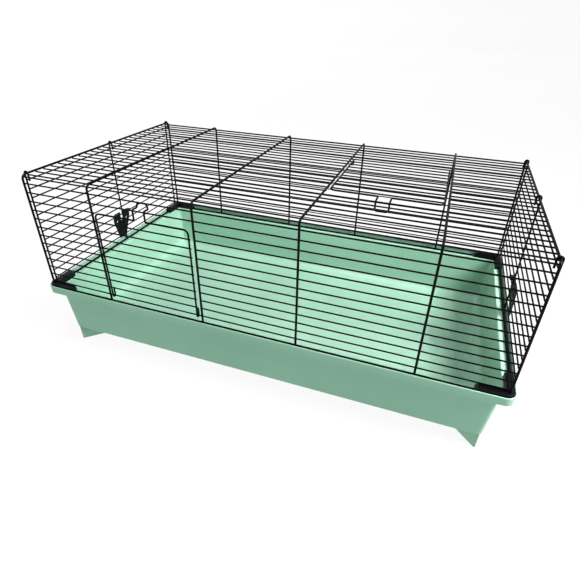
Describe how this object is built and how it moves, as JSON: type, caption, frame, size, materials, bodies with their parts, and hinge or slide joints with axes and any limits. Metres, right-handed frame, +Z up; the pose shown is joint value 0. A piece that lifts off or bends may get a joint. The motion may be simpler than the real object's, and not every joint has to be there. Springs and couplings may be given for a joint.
{
  "type": "rabbit hutch",
  "caption": "Indoor small-animal hutch: a deep plastic tub on corner feet under a lift-off wire top with a front door and a top door, held by side clips.",
  "frame": {"origin": "on the floor, under the middle of the tub", "axes": "+X to the right along the length, +Y to the back, +Z up"},
  "size_m": [0.9922, 0.545, 0.4249],
  "materials": {
    "tub_plastic": "satin moulded mint polypropylene, slightly translucent",
    "coated_wire": "dark powder coat with a soft gloss",
    "black_plastic": "moulded black plastic with a soft gloss"
  },
  "bodies": {
    "tub": {"tub": "tub_plastic"},
    "wire_top": {"front_rail": "coated_wire", "back_rail": "coated_wire", "left_end_bow": "coated_wire", "front_door_left_bow": "coated_wire", "front_door_right_bow": "coated_wire", "top_door_left_bow": "coated_wire", "top_door_right_bow": "coated_wire", "right_end_bow": "coated_wire", "front_wires": "coated_wire", "top_wires": "coated_wire", "back_wires": "coated_wire", "left_panel_rail": "coated_wire", "left_panel_uprights": "coated_wire", "left_panel_wires": "coated_wire", "right_panel_rail": "coated_wire", "right_panel_uprights": "coated_wire", "right_panel_wires": "coated_wire", "front_left_joiner": "black_plastic", "front_right_joiner": "black_plastic", "back_left_joiner": "black_plastic", "back_right_joiner": "black_plastic"},
    "front_door": {"front_door_frame": "coated_wire", "front_door_wires": "coated_wire"},
    "top_door": {"top_door_frame": "coated_wire", "top_door_wires": "coated_wire"},
    "left_clip": {"left_clip": "black_plastic"},
    "right_clip": {"right_clip": "black_plastic"}
  },
  "joints": [
    {"name": "wire_top_lift", "type": "slide", "parent": "tub", "child": "wire_top", "axis": [0, 0, 1], "range_m": [0, 0.3]},
    {"name": "front_door_hinge", "type": "hinge", "parent": "wire_top", "child": "front_door", "pos_m": [-0.215, -0.2565, 0.1726], "axis": [1, 0, 0], "range_deg": [0, 92]},
    {"name": "top_door_hinge", "type": "hinge", "parent": "wire_top", "child": "top_door", "pos_m": [0.212, 0.1018, 0.4157], "axis": [-1, 0, 0], "range_deg": [0, 160]},
    {"name": "left_clip_hinge", "type": "hinge", "parent": "wire_top", "child": "left_clip", "pos_m": [-0.4809, 0.0045, 0.2352], "axis": [0, 1, 0], "range_deg": [0, 100]},
    {"name": "right_clip_hinge", "type": "hinge", "parent": "wire_top", "child": "right_clip", "pos_m": [0.4809, 0.0045, 0.2352], "axis": [0, -1, 0], "range_deg": [0, 100]}
  ]
}
